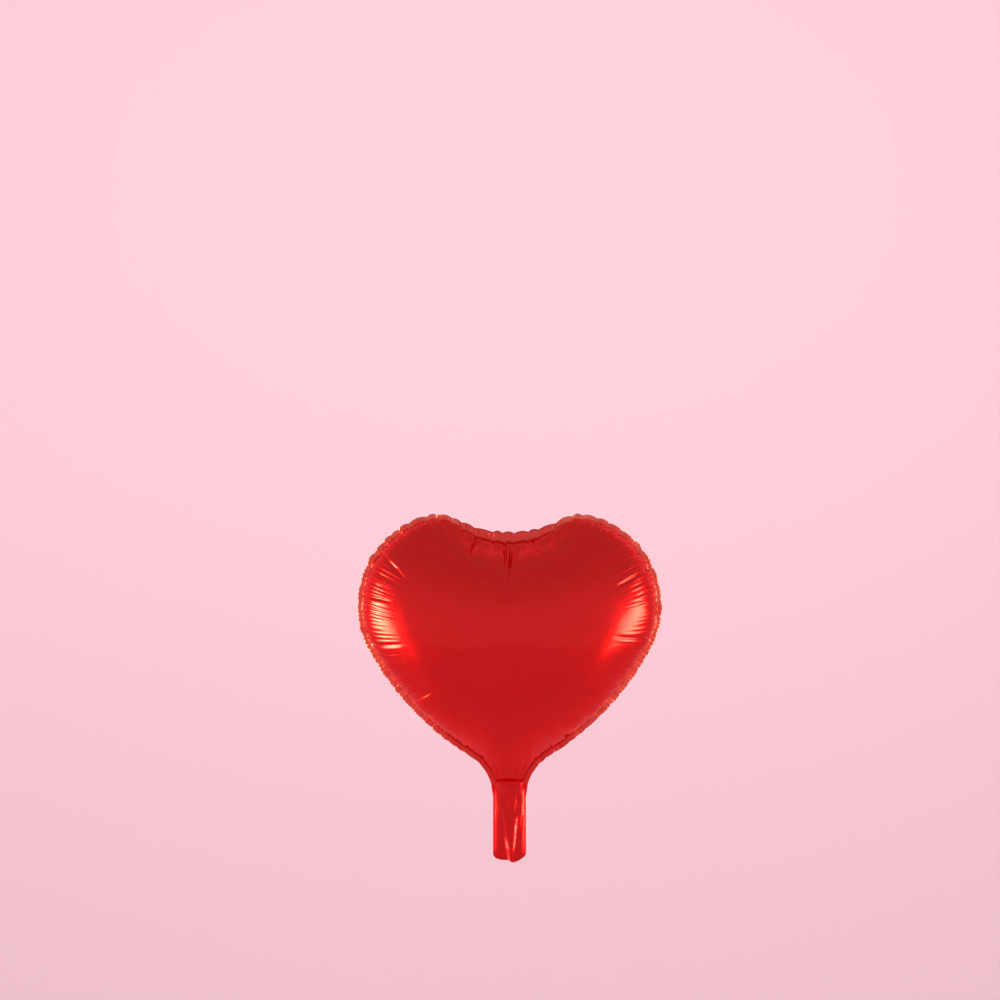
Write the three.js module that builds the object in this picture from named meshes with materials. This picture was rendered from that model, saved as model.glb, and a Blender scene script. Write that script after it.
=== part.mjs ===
// A heart-shaped foil balloon, inflated: two film panels sealed round the rim, a flat filling
// neck of two plies that folds at its root, and the two thin films of its self-sealing valve.
// The frame: Z = 0 is the fold line at the root of the neck, +Z runs up the heart, X runs
// across it, and the front panel faces -Y. Everything is in millimetres.
import * as THREE from 'three';
import { LoftGeometry } from 'three/addons/geometries/LoftGeometry.js';

// Outline of the heart, at the outer edge of the sealed rim.
const LOBE_OFFSET = 74; // centre line to the centre of a lobe's top arc
const LOBE_RISE = 235; // fold line to the centre of a lobe's top arc
const TOP_RADIUS = 43; // top of a lobe
const TOP_ANGLE = THREE.MathUtils.degToRad( 76 ); // where the top arc meets the shoulder, above X
const SHOULDER_RADIUS = 95; // outer side of a lobe
const FLANK_RADIUS = 292; // long side that runs down to the neck
const ROOT_RADIUS = 50; // hollow corner between a flank and the neck
const ROOT_DROP = 13; // fold line down to the start of that corner
const WEB_RADIUS = 115; // edge of the rim across the cleft between the lobes

// Inflated panels.
const RIM_WIDTH = 5; // flat sealed rim outside the seam
const CLEFT_RADIUS = 90; // seam across the cleft
const MOUTH_LAND = 2; // flat strip where the panels open into the neck
const CROWN = 75; // height of one panel above its rim
const CROWN_RISE = 158; // fold line to the highest point of a panel
const FULLNESS = { body: 2.9, tip: 2.0 }; // how far out the panel stays high
const STEEPNESS = { body: 0.5, tip: 0.7 }; // how steeply it then drops to the rim
const TIP_SPREAD = THREE.MathUtils.degToRad( 55 ); // angle from straight down where the tip ends

// Neck and valve.
const NECK_WIDTH = 34;
const NECK_LENGTH = 80;
const NECK_CORNER = 8; // rounded corners of the neck's open end
const VALVE_WIDTH = 22;
const VALVE_INSET = 22; // open end of the neck to the start of the valve
const VALVE_CORNER = 3;
const LIP_START = 7; // fold line to the hinge line of the valve's free ends
const LIP_LENGTH = 38;

// Films, each thicker than the real one so that it is a sound solid.
const FOIL = 0.5;
const VALVE_FILM = 0.3;
const GAP = 0.3; // air between films that lie on each other

// Fineness of the panels.
const ARC_STEPS = { mouth: 2, root: 4, flank: 14, shoulder: 12, top: 8, cleft: 5 };
const PANEL_RINGS = 10;

const VALVE_FACE = GAP / 2;
const NECK_FACE = VALVE_FACE + VALVE_FILM + GAP;
const PANEL_FACE = GAP / 2;
const NECK_TOP = - GAP / 2;
const BODY_BASE = Math.hypot( NECK_FACE + FOIL, NECK_TOP ) + GAP; // clears the neck as it folds

// Centres of the outline's arcs on the right-hand side.
const topCentre = new THREE.Vector2( LOBE_OFFSET, LOBE_RISE );
const shoulderCentre = new THREE.Vector2( Math.cos( TOP_ANGLE ), Math.sin( TOP_ANGLE ) )
	.multiplyScalar( TOP_RADIUS - SHOULDER_RADIUS ).add( topCentre );
const rootCentre = new THREE.Vector2( NECK_WIDTH / 2 + ROOT_RADIUS, - ROOT_DROP );
const flankCentre = circleCrossing(
	shoulderCentre, FLANK_RADIUS - SHOULDER_RADIUS, rootCentre, FLANK_RADIUS + ROOT_RADIUS );

// The crossing of two circles that lies further to the left.
function circleCrossing( centreA, radiusA, centreB, radiusB ) {

	const along = centreB.clone().sub( centreA );
	const distance = along.length();
	along.normalize();
	const foot = ( radiusA ** 2 - radiusB ** 2 + distance ** 2 ) / ( 2 * distance );
	const side = new THREE.Vector2( - along.y, along.x )
		.multiplyScalar( Math.sqrt( radiusA ** 2 - foot ** 2 ) );
	const middle = along.multiplyScalar( foot ).add( centreA );
	const crossings = [ middle.clone().add( side ), middle.clone().sub( side ) ];
	return crossings[ 0 ].x < crossings[ 1 ].x ? crossings[ 0 ] : crossings[ 1 ];

}

function angleTowards( from, to ) {

	return Math.atan2( to.y - from.y, to.x - from.x );

}

// Angle on the root corner's circle at a height z.
function rootAngle( radius, z ) {

	return Math.PI - Math.asin( ( z - rootCentre.y ) / radius );

}

function arcPoints( centre, radius, start, end, clockwise, steps ) {

	return new THREE.ArcCurve( centre.x, centre.y, radius, start, end, clockwise ).getPoints( steps );

}

// A ring of points (x, z) that runs parallel to the rim's outer edge, inset from it, starting
// at the middle of its base and running up the right side, over the cleft and down the left.
function heartRing( inset, base, cleftRadius ) {

	const top = TOP_RADIUS - inset;
	const root = ROOT_RADIUS + inset;
	const cleftRise = Math.sqrt( ( top + cleftRadius ) ** 2 - LOBE_OFFSET ** 2 );
	const cleftCentre = new THREE.Vector2( 0, LOBE_RISE + cleftRise );
	const arcs = [
		arcPoints( rootCentre, root, rootAngle( root, base ), angleTowards( rootCentre, flankCentre ),
			true, ARC_STEPS.root ),
		arcPoints( flankCentre, FLANK_RADIUS - inset, angleTowards( flankCentre, rootCentre ),
			angleTowards( flankCentre, shoulderCentre ), false, ARC_STEPS.flank ),
		arcPoints( shoulderCentre, SHOULDER_RADIUS - inset, angleTowards( flankCentre, shoulderCentre ),
			TOP_ANGLE, false, ARC_STEPS.shoulder ),
		arcPoints( topCentre, top, TOP_ANGLE, angleTowards( topCentre, cleftCentre ),
			false, ARC_STEPS.top ),
		arcPoints( cleftCentre, cleftRadius, angleTowards( cleftCentre, topCentre ), - Math.PI / 2,
			true, ARC_STEPS.cleft ),
	];
	const corner = arcs[ 0 ][ 0 ];
	const right = [];
	for ( let i = 0; i < ARC_STEPS.mouth; i ++ ) {

		right.push( new THREE.Vector2( corner.x * i / ARC_STEPS.mouth, base ) );

	}

	for ( const arc of arcs ) right.push( ...arc.slice( 0, - 1 ) );
	right.push( new THREE.Vector2( 0, cleftCentre.y - cleftRadius ) );
	const left = right.slice( 1, - 1 ).reverse().map( ( p ) => new THREE.Vector2( - p.x, p.y ) );
	return [ ...right, ...left ];

}

// Height of the inflated film above the rim, at a share of the way from the crown to the seam.
function crownHeight( share, seamPoint ) {

	const fromBelow = Math.atan2( Math.abs( seamPoint.x ), CROWN_RISE - seamPoint.y );
	const body = THREE.MathUtils.smoothstep( fromBelow, 0, TIP_SPREAD );
	const fullness = THREE.MathUtils.lerp( FULLNESS.tip, FULLNESS.body, body );
	const steepness = THREE.MathUtils.lerp( STEEPNESS.tip, STEEPNESS.body, body );
	return CROWN * ( 1 - share ** fullness ) ** steepness;

}

// One panel: the domed film and its half of the flat rim. side is -1 for the front, 1 for the back.
function panelGeometry( side ) {

	const edge = heartRing( 0, BODY_BASE, WEB_RADIUS );
	const outerSeam = heartRing( RIM_WIDTH, BODY_BASE + MOUTH_LAND, CLEFT_RADIUS );
	const innerSeam = heartRing( RIM_WIDTH + FOIL, BODY_BASE + MOUTH_LAND + FOIL, CLEFT_RADIUS + FOIL );

	const section = ( points, height ) => points.map( ( p ) =>
		new THREE.Vector3( p.x, side * height( p ), p.y ) );
	const domeSection = ( seam, face, share ) => seam.map( ( p ) => new THREE.Vector3(
		p.x * share, side * ( face + crownHeight( share, p ) ), CROWN_RISE + ( p.y - CROWN_RISE ) * share ) );

	const shares = [];
	for ( let i = 0; i <= PANEL_RINGS; i ++ ) shares.push( Math.sin( i / PANEL_RINGS * Math.PI / 2 ) );
	const sections = [
		...shares.map( ( share ) => domeSection( outerSeam, PANEL_FACE + FOIL, share ) ),
		section( edge, () => PANEL_FACE + FOIL ),
		section( edge, () => PANEL_FACE ),
		...shares.reverse().map( ( share ) => domeSection( innerSeam, PANEL_FACE, share ) ),
	];
	if ( side < 0 ) sections.forEach( ( ring ) => ring.reverse() );
	return new LoftGeometry( sections );

}

// A flat film standing in the XZ plane, from face to face + thickness on one side of Y = 0.
function filmGeometry( shape, side, face, thickness ) {

	const geometry = new THREE.ExtrudeGeometry( shape, { depth: thickness, bevelEnabled: false } );
	geometry.rotateX( Math.PI / 2 );
	return geometry.translate( 0, side > 0 ? face + thickness : - face, 0 );

}

function neckShape() {

	const half = NECK_WIDTH / 2;
	const shape = new THREE.Shape();
	const flare = rootAngle( ROOT_RADIUS, NECK_TOP );
	const end = - NECK_LENGTH;
	shape.moveTo( NECK_CORNER - half, end );
	shape.lineTo( half - NECK_CORNER, end );
	shape.absarc( half - NECK_CORNER, end + NECK_CORNER, NECK_CORNER, - Math.PI / 2, 0, false );
	shape.absarc( rootCentre.x, rootCentre.y, ROOT_RADIUS, Math.PI, flare, true );
	shape.absarc( - rootCentre.x, rootCentre.y, ROOT_RADIUS, Math.PI - flare, 0, true );
	shape.absarc( NECK_CORNER - half, end + NECK_CORNER, NECK_CORNER, Math.PI, 1.5 * Math.PI, false );
	return shape;

}

// A strip with two rounded corners at one end: the upper one for a free end inside the balloon.
function stripShape( low, high, roundedAbove ) {

	const half = VALVE_WIDTH / 2;
	const shape = new THREE.Shape();
	const outline = [ [ - half, low ], [ half, low ], [ half, high ], [ - half, high ] ];
	if ( ! roundedAbove ) outline.forEach( ( corner ) => corner[ 1 ] = low + high - corner[ 1 ] );
	const roundedEnd = outline[ 2 ][ 1 ];
	const inward = Math.sign( outline[ 0 ][ 1 ] - roundedEnd ) * VALVE_CORNER;
	shape.moveTo( ...outline[ 0 ] );
	shape.lineTo( ...outline[ 1 ] );
	shape.lineTo( half, roundedEnd + inward );
	shape.quadraticCurveTo( half, roundedEnd, half - VALVE_CORNER, roundedEnd );
	shape.lineTo( VALVE_CORNER - half, roundedEnd );
	shape.quadraticCurveTo( - half, roundedEnd, - half, roundedEnd + inward );
	return shape;

}

function addPiece( group, name, geometry, material ) {

	const mesh = new THREE.Mesh( geometry, material.clone() );
	mesh.name = name;
	group.add( mesh );

}

const foil = new THREE.MeshStandardMaterial( { color: 0xb0101a, roughness: 0.28, metalness: 1 } );
const valve = new THREE.MeshStandardMaterial( { color: 0xe9e4dc, roughness: 0.35, metalness: 0 } );

const envelope = new THREE.Group();
const neck = new THREE.Group();
for ( const [ word, side ] of [ [ 'front', - 1 ], [ 'back', 1 ] ] ) {

	addPiece( envelope, word + '_panel', panelGeometry( side ), foil );
	addPiece( neck, 'neck_' + word + '_ply', filmGeometry( neckShape(), side, NECK_FACE, FOIL ), foil );
	addPiece( neck, 'valve_' + word + '_sheet',
		filmGeometry( stripShape( VALVE_INSET - NECK_LENGTH, NECK_TOP, false ), side, VALVE_FACE,
			VALVE_FILM ), valve );
	addPiece( envelope, 'valve_' + word + '_lip',
		filmGeometry( stripShape( LIP_START + GAP / 2, LIP_START + LIP_LENGTH, true ), side, VALVE_FACE,
			VALVE_FILM ), valve );

}

const balloon = new THREE.Group();
balloon.add( envelope, neck );
export default balloon;
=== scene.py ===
"""A heart-shaped foil balloon: two welded films, a flat filling neck and its valve films."""

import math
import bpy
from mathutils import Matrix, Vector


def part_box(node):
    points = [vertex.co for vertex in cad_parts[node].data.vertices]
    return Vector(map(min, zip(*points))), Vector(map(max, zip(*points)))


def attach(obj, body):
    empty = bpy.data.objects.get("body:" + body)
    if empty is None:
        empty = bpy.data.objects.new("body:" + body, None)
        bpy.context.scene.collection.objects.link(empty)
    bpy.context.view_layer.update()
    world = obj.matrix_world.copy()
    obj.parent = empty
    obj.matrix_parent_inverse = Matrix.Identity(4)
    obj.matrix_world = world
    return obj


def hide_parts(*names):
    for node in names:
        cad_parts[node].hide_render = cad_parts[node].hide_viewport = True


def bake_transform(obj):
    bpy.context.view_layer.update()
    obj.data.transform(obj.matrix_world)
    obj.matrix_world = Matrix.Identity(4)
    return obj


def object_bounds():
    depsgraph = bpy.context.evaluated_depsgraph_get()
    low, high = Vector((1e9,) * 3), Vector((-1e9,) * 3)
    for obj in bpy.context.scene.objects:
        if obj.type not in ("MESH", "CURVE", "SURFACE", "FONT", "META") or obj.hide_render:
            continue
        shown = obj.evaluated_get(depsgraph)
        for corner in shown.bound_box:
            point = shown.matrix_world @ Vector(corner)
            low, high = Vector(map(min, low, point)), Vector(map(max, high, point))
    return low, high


bl_info = {
    "name": "Heart foil balloon",
    "version": (1, 0, 0),
    "blender": (4, 5, 0),
    "location": "View3D > Sidebar > Balloon",
    "description": "Builds a filled heart-shaped foil balloon with its neck and valve films",
    "category": "Add Mesh",
}

import bmesh
import bpy
import numpy as np
from bpy.props import FloatProperty, FloatVectorProperty, IntProperty, PointerProperty
from bpy.types import Operator, Panel, PropertyGroup
from mathutils import Vector

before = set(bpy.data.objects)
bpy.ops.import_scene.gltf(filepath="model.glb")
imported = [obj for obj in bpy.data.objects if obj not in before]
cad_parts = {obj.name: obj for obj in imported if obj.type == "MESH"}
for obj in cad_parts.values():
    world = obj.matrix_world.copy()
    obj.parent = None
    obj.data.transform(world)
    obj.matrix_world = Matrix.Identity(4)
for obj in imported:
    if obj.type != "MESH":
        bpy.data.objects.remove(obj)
CAD_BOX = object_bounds()
MM = 0.001

# The outline's arcs, in millimetres, as (x, z) centres and radii.
LOBE = (74.0, 235.0)
TOP_RADIUS = 43.0
TOP_ANGLE = math.radians(76)
SHOULDER_RADIUS = 95.0
FLANK_RADIUS = 292.0
ROOT_RADIUS = 50.0
ROOT_DROP = 13.0
CLEFT_RADIUS = 90.0
WEB_RADIUS = 115.0
SEAM_BASE = 3.5
CENTRE = np.array([0.0, 158.0])
ARC_POINTS = 400

# The film's grid: columns round the rim, those across the neck, and rings from the rim inwards
# as (share of the columns, number, spacing in mm).
COARSE_COLUMNS = 480
CHORD_SHARE = 60
RING_ZONES = ((1, 8, 1.25), (1, 22, 2.0), (2, 10, 3.0), (4, 4, 6.0))
CENTRE_SHARE = 8
CENTRE_SPACING = 8.0
MEAN_SPOKE = 150.0
PROFILE_POINTS = 400
TIP_SPREAD = math.radians(55)
FLANGE_ROWS = 4
NECK_ROWS = 64

# The dome's profile: what holds at the tip, and what is added towards the sides.
FULLNESS = (2.0, 0.9)
STEEPNESS = (0.7, -0.2)

# Frames of the filling, and the frame at which the rim is drawn in to the seam.
FILL_FRAMES = 40
SEAM_FRAME = 20

# How far in from the rim the filled film is followed, and how it is evened out, in mm and rounds.
TRUST_FROM, TRUST_OVER = 3, 22
KINK_ROUNDS, PIN_DEPTH = 16, 2
CENTRE_FROM, CENTRE_OVER, CENTRE_ROUNDS = 78, 20, 30

# Folds of the rim: usual length in mm, jitter, and where they start above the root.
SCALLOP_JITTER = 0.42
CRIMP_LENGTH, CRIMP_JITTER, CRIMP_SIZE = 4.4, 0.35, 1.5
FOLDS_FROM, FOLDS_OVER = 6, 30
LOBE_FROM, LOBE_OVER, LOW_SCALLOP = 190, 40, 0.55
SCALLOP_SHARPNESS, SCALLOP_LEVEL = 0.75, 0.45
WELD_WAVE, EDGE_WAVE = 0.7, 0.9
CRIMP_SHARE = 0.42
WEB_WIDE, WEB_RIPPLE, WEB_RIPPLES = 7, 0.5, 0.9

# What is left of a scallop at the seam, how far the rim's folds run into the dome, and how they
# fade there.
SEAM_SCALLOP, RIM_REACH, RIM_FADE = 0.6, 16, 1.5

# Uneven stretches: the least strength, and the share of one that has to be left to add another.
LEAST_STRENGTH, LAST_STRETCH = 0.5, 0.6

# Ribs and pleats: jitter, profile, how they fade, and how far in they reach in mm.
RIB_JITTER = 0.32
RIB_SHARPNESS, RIB_LEVEL, RIB_FADE = 0.8, 0.62, 0.85
RIB_REACH = (42, 78)
PLEAT_SPACING, PLEAT_HEIGHT, PLEAT_REACH = 13.5, 0.8, (40, 80)
RIBS_FROM, RIBS_OVER, RIB_START = 8, 35, 2.5
CLEFT_CALM, CLEFT_REACH, CLEFT_OVER = 0.85, 100, 50

# Pinches where two scallops meet: a scallop's length, half width and depth in mm, where they
# start and how far in they reach.
PINCH_SPAN, PINCH_HALF, PINCH_DEPTH = 14, 1.6, 0.9
PINCH_START, PINCH_REACH, PINCH_GROWTH = 2, 14, 20

# The mouth, where the dome runs into the neck: puff, reach, half width and top in mm.
MOUTH_PUFF, MOUTH_ROUNDNESS = 3.6, 0.8
MOUTH_REACH, MOUTH_HALF, MOUTH_TOP = 48, 13.5, 60

# Half of the gap between the neck's plies, how steeply it opens, and that between the films.
PLY_GAP, PLY_GAP_SPREAD = 0.45, 4
FILM_CLEARANCE = 0.1

# The soft bend at the mouth: its height, reach and half width, each with its soft edge, in mm.
BEND_ROUNDS = 14
BEND_HEIGHT, BEND_REACH, BEND_SOFT = 3, 16, 8
BEND_HALF, BEND_HALF_SOFT = 14, 4

# The weld's paler tint (a painted highlight) and its roughness: at the seam, low down, where that
# changes, and at the cleft (cut back there as painted shade).
SEAM_TINT, LOW_TINT, CLEFT_PAINTED_SHADE = 0.6, 0.15, 0.6
TINT_FROM, TINT_OVER = 25, 75
CLEFT_FROM, CLEFT_RISE, CLEFT_HALF, CLEFT_SOFT = 200, 20, 60, 25

# Crease profile: how fast it starts, and the raised shoulders beside the valley.
CREASE_START = 4
SHOULDER_HEIGHT, SHOULDER_PLACE = 0.25, 2.4

# The neck. Its places across are shares of its half width, its places down shares of its length,
# and the rest is in mm. A pair is what holds at the top and what is added by the lower end.
ROW_BIAS = 0.97
NECK_CORNER, NECK_SEAL, MOUTH_SHARE = 8.0, 0.9, 0.74
NECK_JOIN, PUFF_START, CREASE_FREE = 13, 12, 8
NECK_PUFF, PUFF_CHANGE, PUFF_SPACING = 4.4, 0.4, 16
SIDE_ROUNDNESS, END_FLATNESS, END_POWER = 0.62, 0.5, 6
VALLEY_PLACE, VALLEY_CHANGE, VALLEY_SPACING = 0.10, 0.05, 22
VALLEY_HALF, VALLEY_DEPTH = (0.56, -0.36), (0.68, 0.2)
BULGE_PLACE, BULGE_LENGTH, BULGE_HEIGHT = 11, 5, 1.5
BULGE_OFFSET, BULGE_HALF = 0.34, 0.22
SLANT_FROM, SLANT_OVER = 0.8, 0.2
LEFT_RISE, LEFT_FROM, LEFT_OVER = 2.6, 0.32, 0.5
RIGHT_RISE, RIGHT_FROM, RIGHT_OVER = 3.2, 0.4, 0.6

# Soft creases of the neck: number, where they start, their run, how far in they lean, and size.
NECK_CREASES = 22
CREASE_ACROSS, CREASE_TOP, CREASE_LOWEST = (0.25, 0.95), 4, 0.6
CREASE_RUN, CREASE_LEAN = (18, 42), (0.2, 0.7)
CREASE_DEPTH, CREASE_HALF = (0.35, 0.8), (1.2, 2.2)
VALLEY_CHANCE, RIDGE_SIZE, CREASE_EDGE = 0.7, -0.6, 0.4

# The valve films, in metres: grid, corner radius, gap, ripple, opening of the free end, thickness.
VALVE_GRID = (23, 41)
VALVE_CORNER = 0.003
VALVE_GAP, VALVE_RIPPLE, VALVE_OPENING = 0.00022, 0.00004, 0.0012
VALVE_THICKNESS = 0.00006

# The floor and backdrop: how far below they start, (front edge, wall, half width, height of the
# wall, radius of the bend), and the strips in the bend.
FLOOR_BELOW = 0.8
BACKDROP = (-16.0, 1.6, 14.0, 3.6, 0.6)
BEND_SEGMENTS = 18

# The camera, the point that is lit, and the lamps at the sides as (name, place, width, height,
# power, colour).
CAMERA_LENS, CAMERA_PLACE = 100, (-0.0098, -2.86, 0.293)
LIT_POINT = (0, 0, 0.13)
SIDE_SPREAD = math.radians(48)
SIDE_LAMPS = (
    ("left_softbox", (-1.15, -0.07, 0.10), 0.42, 1.2, 5.6, (1.0, 0.68, 0.37)),
    ("right_softbox", (1.2, -0.28, 0.10), 0.46, 1.2, 3.0, (1.0, 0.66, 0.38)),
)

# The lamp that lights the backdrop: place, the point it is aimed at, and (width, height, power,
# colour).
WASH_PLACE, WASH_AIM = (0, 0.2, 1.2), (0, 1.6, -0.1)
WASH = (2.6, 0.5, 11.5, (1.0, 0.93, 0.93))

# Long creases in the front film and the back film: x0, z0, x1, z1, depth and half width, in mm.
FRONT_CREASES = (
    (-4.6, 251, -3.6, 192, 2.0, 1.0),
    (-34.5, 253, -46, 226, 1.8, 1.0),
    (23.2, 253, 34, 226, 1.8, 1.0),
    (-9, 2, -13, 24, 0.9, 1.5),
    (-3, 2, -4, 30, 1.0, 1.5),
    (4, 2, 6, 22, 0.9, 1.5),
    (10, 2, 15, 27, 0.9, 1.5),
    (-129, 237, -104, 211, 1.3, 1.5),
    (-155, 197, -120, 190, 1.2, 1.5),
    (-143, 144.5, -109, 147, 1.2, 1.5),
    (-95, 90, -74, 102, 1.3, 1.5),
    (142, 223, 108, 205, 1.3, 1.5),
    (151, 195.5, 130, 189, 1.0, 1.4),
    (146, 150.7, 106, 155, 1.2, 1.5),
    (64, 47, 41, 67, 1.0, 1.4),
)
BACK_CREASES = (
    (3, 251, 5, 198, 2.0, 1.0),
    (-27, 253, -38, 230, 1.8, 1.0),
    (30, 253, 40, 224, 1.8, 1.0),
    (-10, 2, -15, 26, 0.9, 1.5),
    (-4, 2, -6, 21, 0.9, 1.5),
    (2, 2, 3, 29, 1.0, 1.5),
    (9, 2, 12, 23, 0.9, 1.5),
    (-139, 225, -110, 209, 1.2, 1.5),
    (-148, 160, -115, 161, 1.1, 1.5),
    (-110, 104, -88, 112, 1.1, 1.5),
    (134, 232, 108, 212, 1.2, 1.5),
    (152, 180, 120, 178, 1.1, 1.5),
    (118, 112, 92, 121, 1.1, 1.5),
)


# ---------------------------------------------------------------- sizes and colours


class BALLOON_PG_settings(PropertyGroup):
    crown_height: FloatProperty(
        name="Crown height", description="From the seam to the top of one film",
        default=0.075, unit="LENGTH", subtype="DISTANCE")
    seal_width: FloatProperty(
        name="Seal width", description="Width of the flat welded rim",
        default=0.005, unit="LENGTH", subtype="DISTANCE")
    film_thickness: FloatProperty(
        name="Film thickness", description="Thickness given to each film",
        default=0.00012, unit="LENGTH", subtype="DISTANCE")
    scallop_height: FloatProperty(
        name="Scallop height", description="How far the rim bulges between two creases",
        default=0.0024, unit="LENGTH", subtype="DISTANCE")
    scallop_length: FloatProperty(
        name="Scallop length", description="Usual distance between two creases of the rim",
        default=0.0148, unit="LENGTH", subtype="DISTANCE")
    rib_height: FloatProperty(
        name="Rib height", description="Height of the fine ribs that gather at the seam",
        default=0.0015, unit="LENGTH", subtype="DISTANCE")
    rib_spacing: FloatProperty(
        name="Rib spacing", description="Usual distance between two fine ribs",
        default=0.0046, unit="LENGTH", subtype="DISTANCE")
    neck_width: FloatProperty(
        name="Neck width", description="Width of the flat neck",
        default=0.034, unit="LENGTH", subtype="DISTANCE")
    neck_length: FloatProperty(
        name="Neck length", description="Length of the neck below its fold",
        default=0.08, unit="LENGTH", subtype="DISTANCE")
    gas_pressure: FloatProperty(
        name="Gas pressure", description="Pressure that fills the films in the simulation",
        default=50.0)
    seed: IntProperty(name="Seed", description="Start of the random folds", default=11)
    film_red: FloatVectorProperty(
        name="Film red", description="Colour of the metallised film", subtype="COLOR", size=3,
        default=(0.78, 0.010, 0.011), min=0, max=1)
    # The weld's paler peach-red is a painted highlight, mixed into the film red along the weld.
    seal_painted_highlight_red: FloatVectorProperty(
        name="Seal red", description="Colour of the welded rim", subtype="COLOR", size=3,
        default=(0.88, 0.13, 0.09), min=0, max=1)
    valve_tint: FloatVectorProperty(
        name="Valve tint", description="Colour of the clear valve films", subtype="COLOR", size=3,
        default=(0.86, 0.85, 0.82), min=0, max=1)
    floor_tint: FloatVectorProperty(
        name="Floor tint", description="Colour of the floor and backdrop", subtype="COLOR", size=3,
        default=(0.97, 0.66, 0.73), min=0, max=1)


# ---------------------------------------------------------------- outline and grid


def smooth_step(x):
    """From 0 to 1 without a corner at either end."""
    x = np.clip(x, 0, 1)
    return x * x * (3 - 2 * x)


def circle_crossing(a, ra, b, rb):
    """The crossing of two circles that lies nearer the middle."""
    d = b - a
    length = np.hypot(*d)
    u = d / length
    f = (ra * ra - rb * rb + length * length) / (2 * length)
    h = math.sqrt(ra * ra - f * f)
    n = np.array([-u[1], u[0]])
    return min((a + u * f + n * h, a + u * f - n * h), key=lambda p: p[0])


def arc(centre, radius, start, end):
    """Points along an arc, from one angle to another."""
    t = np.linspace(start, end, ARC_POINTS)
    return np.c_[centre[0] + radius * np.cos(t), centre[1] + radius * np.sin(t)]


def towards(a, b):
    """Angle of the line from one point to another."""
    return math.atan2(b[1] - a[1], b[0] - a[0])


def heart_outline(inset, base, cleft, neck_half):
    """The closed heart, from the middle of its root, in the same steps for every inset."""
    top = np.array(LOBE)
    lean = np.array([math.cos(TOP_ANGLE), math.sin(TOP_ANGLE)])
    shoulder = top - (SHOULDER_RADIUS - TOP_RADIUS) * lean
    root = np.array([neck_half + ROOT_RADIUS, -ROOT_DROP])
    flank = circle_crossing(
        shoulder, FLANK_RADIUS - SHOULDER_RADIUS, root, FLANK_RADIUS + ROOT_RADIUS)
    root_r, top_r = ROOT_RADIUS + inset, TOP_RADIUS - inset
    notch = np.array([0, LOBE[1] + math.sqrt((top_r + cleft) ** 2 - LOBE[0] ** 2)])
    half = np.vstack([
        [[0, base]],
        arc(root, root_r, math.pi - math.asin((base + ROOT_DROP) / root_r), towards(root, flank)),
        arc(flank, FLANK_RADIUS - inset, towards(flank, root), towards(flank, shoulder)),
        arc(shoulder, SHOULDER_RADIUS - inset, towards(flank, shoulder), TOP_ANGLE),
        arc(top, top_r, TOP_ANGLE, towards(top, notch)),
        arc(notch, cleft, towards(notch, top), -math.pi / 2),
    ])
    return np.vstack([half, (half[1:-1] * [-1, 1])[::-1], half[:1]])


class Rim:
    """The seam and the cut edge, sampled at the same columns."""

    def __init__(self, settings, columns):
        neck_half = settings.neck_width / MM / 2
        seam = heart_outline(settings.seal_width / MM, SEAM_BASE, CLEFT_RADIUS, neck_half)
        edge = heart_outline(0, 0, WEB_RADIUS, neck_half)
        along = np.r_[0, np.cumsum(np.hypot(*np.diff(seam, axis=0).T))]
        self.columns = columns
        self.chord = columns // CHORD_SHARE
        corner = seam[1, 0]
        total = along[-1]
        stops = [0, self.chord, columns - self.chord, columns]
        self.s = np.interp(np.arange(columns), stops, [0, corner, total - corner, total])
        at = np.interp(self.s, along, np.arange(len(along)))
        self.seam = np.c_[[np.interp(at, np.arange(len(seam)), seam[:, k]) for k in (0, 1)]].T
        self.edge = np.c_[[np.interp(at, np.arange(len(edge)), edge[:, k]) for k in (0, 1)]].T
        self.length = total
        d = np.roll(self.seam, -1, 0) - np.roll(self.seam, 1, 0)
        d /= np.hypot(*d.T)[:, None]
        self.out = np.c_[d[:, 1], -d[:, 0]]


def ring_plan():
    """Each ring's share of the way to the centre, and its share of the columns."""
    shares, steps = [0.0], [1]
    for step, count, spacing in RING_ZONES:
        for _ in range(count):
            shares.append(shares[-1] + spacing / MEAN_SPOKE)
            steps.append(step)
    last = shares[-1]
    rest = int((1 - last) * MEAN_SPOKE / CENTRE_SPACING)
    for i in range(1, rest):
        shares.append(last + (1 - last) * i / rest)
        steps.append(CENTRE_SHARE)
    return shares, steps


def dome_profile(rim, crown, step):
    """For each spoke: shares from the centre to the rim, heights and lengths along the film."""
    seam = rim.seam[::step]
    below = np.arctan2(abs(seam[:, 0]), CENTRE[1] - seam[:, 1])
    blend = smooth_step(below / TIP_SPREAD)
    full = FULLNESS[0] + FULLNESS[1] * blend
    steep = STEEPNESS[0] + STEEPNESS[1] * blend
    rho = np.sin(np.linspace(0, 1, PROFILE_POINTS) * math.pi / 2)
    reach = np.hypot(*(seam - CENTRE).T)
    height = crown * np.clip(1 - rho[None, :] ** full[:, None], 0, 1) ** steep[:, None]
    steps = np.hypot(np.diff(rho[None, :] * reach[:, None], axis=1), np.diff(height, axis=1))
    length = np.c_[np.zeros(len(seam)), np.cumsum(steps, axis=1)]
    return rho, height, length


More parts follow.
